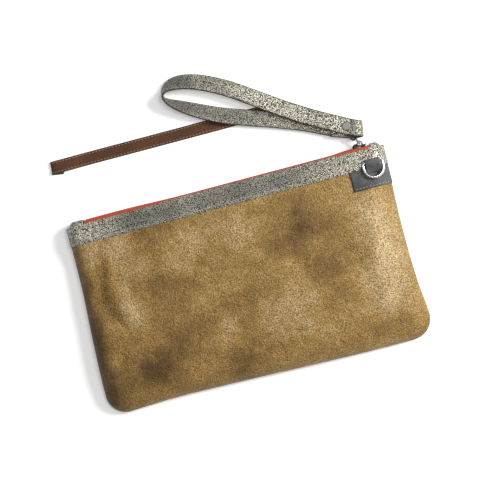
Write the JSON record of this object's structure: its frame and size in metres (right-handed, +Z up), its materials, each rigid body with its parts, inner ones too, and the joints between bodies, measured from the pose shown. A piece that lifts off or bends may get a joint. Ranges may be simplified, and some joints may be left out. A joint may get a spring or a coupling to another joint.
{
  "type": "zippered pouch",
  "caption": "Flat zippered leather pouch with a metallic band, D-ring tab, riveted wrist strap and a long narrow pull strap.",
  "frame": {"origin": "on the surface the pouch lies on, under the middle of its back panel", "axes": "+X along the mouth to the closed end of the zipper, +Y out of the mouth, +Z up through the front"},
  "size_m": [0.2542, 0.2411, 0.0214],
  "materials": {
    "tan_leather": "mottled pull-up leather",
    "metallic_leather": "crackled metallic foil",
    "charcoal_leather": "smooth",
    "brown_leather": "satin, stitched",
    "lining": "plain weave cotton",
    "zip_tape": "woven tape",
    "zip_coil": "satin",
    "gunmetal": "polished gunmetal",
    "nickel": "polished nickel",
    "rivet_nickel": "satin nickel"
  },
  "bodies": {
    "pouch": {"back_panel": "tan_leather", "back_band": "metallic_leather", "back_lining": "lining", "back_tape": "zip_tape", "back_teeth": "zip_coil", "back_top_stop": "gunmetal", "bottom_stop": "gunmetal", "left_end_cover": "metallic_leather", "right_end_cover": "metallic_leather"},
    "front": {"front_panel": "tan_leather", "front_band": "metallic_leather", "front_lining": "lining", "front_tape": "zip_tape", "front_teeth": "zip_coil", "front_top_stop": "gunmetal", "d_ring_tab": "charcoal_leather"},
    "d_ring": {"d_ring": "nickel"},
    "slider": {"slider_body": "gunmetal", "slider_crown": "gunmetal"},
    "puller": {"puller": "gunmetal"},
    "strap_ring": {"strap_ring": "gunmetal"},
    "wrist_strap": {"wrist_strap": "metallic_leather", "rivet_cap": "rivet_nickel", "rivet_post": "rivet_nickel"},
    "pull_strap": {"pull_strap": "brown_leather"}
  },
  "joints": [
    {"name": "zip_slide", "type": "slide", "parent": "pouch", "child": "slider", "axis": [1, 0, 0], "range_m": [-0.205, 0], "deforming": ["back_teeth", "back_tape"]},
    {"name": "mouth_open", "type": "hinge", "parent": "pouch", "child": "front", "pos_m": [0, -0.076, 0.0038], "axis": [1, 0, 0], "range_deg": [0, 12], "deforming": ["front_teeth", "front_tape", "front_top_stop"]},
    {"name": "puller_swing", "type": "hinge", "parent": "slider", "child": "puller", "pos_m": [0.10758, 0.07875, 0.0074], "axis": [0, 0, 1], "range_deg": [-50, 2]},
    {"name": "strap_lift", "type": "hinge", "parent": "puller", "child": "strap_ring", "pos_m": [0.10573, 0.08296, 0.0074], "axis": [0.9156, 0.402, 0], "range_deg": [0, 35]},
    {"name": "strap_swivel", "type": "hinge", "parent": "strap_ring", "child": "wrist_strap", "pos_m": [0.1008, 0.0942, 0.0074], "axis": [0, 0, 1], "range_deg": [-8, 2]},
    {"name": "pull_strap_swing", "type": "hinge", "parent": "wrist_strap", "child": "pull_strap", "pos_m": [0.1008, 0.0942, 0.00165], "axis": [0, 0, 1], "range_deg": [-2, 4]},
    {"name": "d_ring_flip", "type": "hinge", "parent": "front", "child": "d_ring", "pos_m": [0.1125, 0.0624, 0.01877], "axis": [-1, 0, 0], "range_deg": [0, 150]}
  ],
  "couplings": [
    {"joint": "mouth_open", "follows": "zip_slide", "rad_per_m": -1.0196}
  ]
}
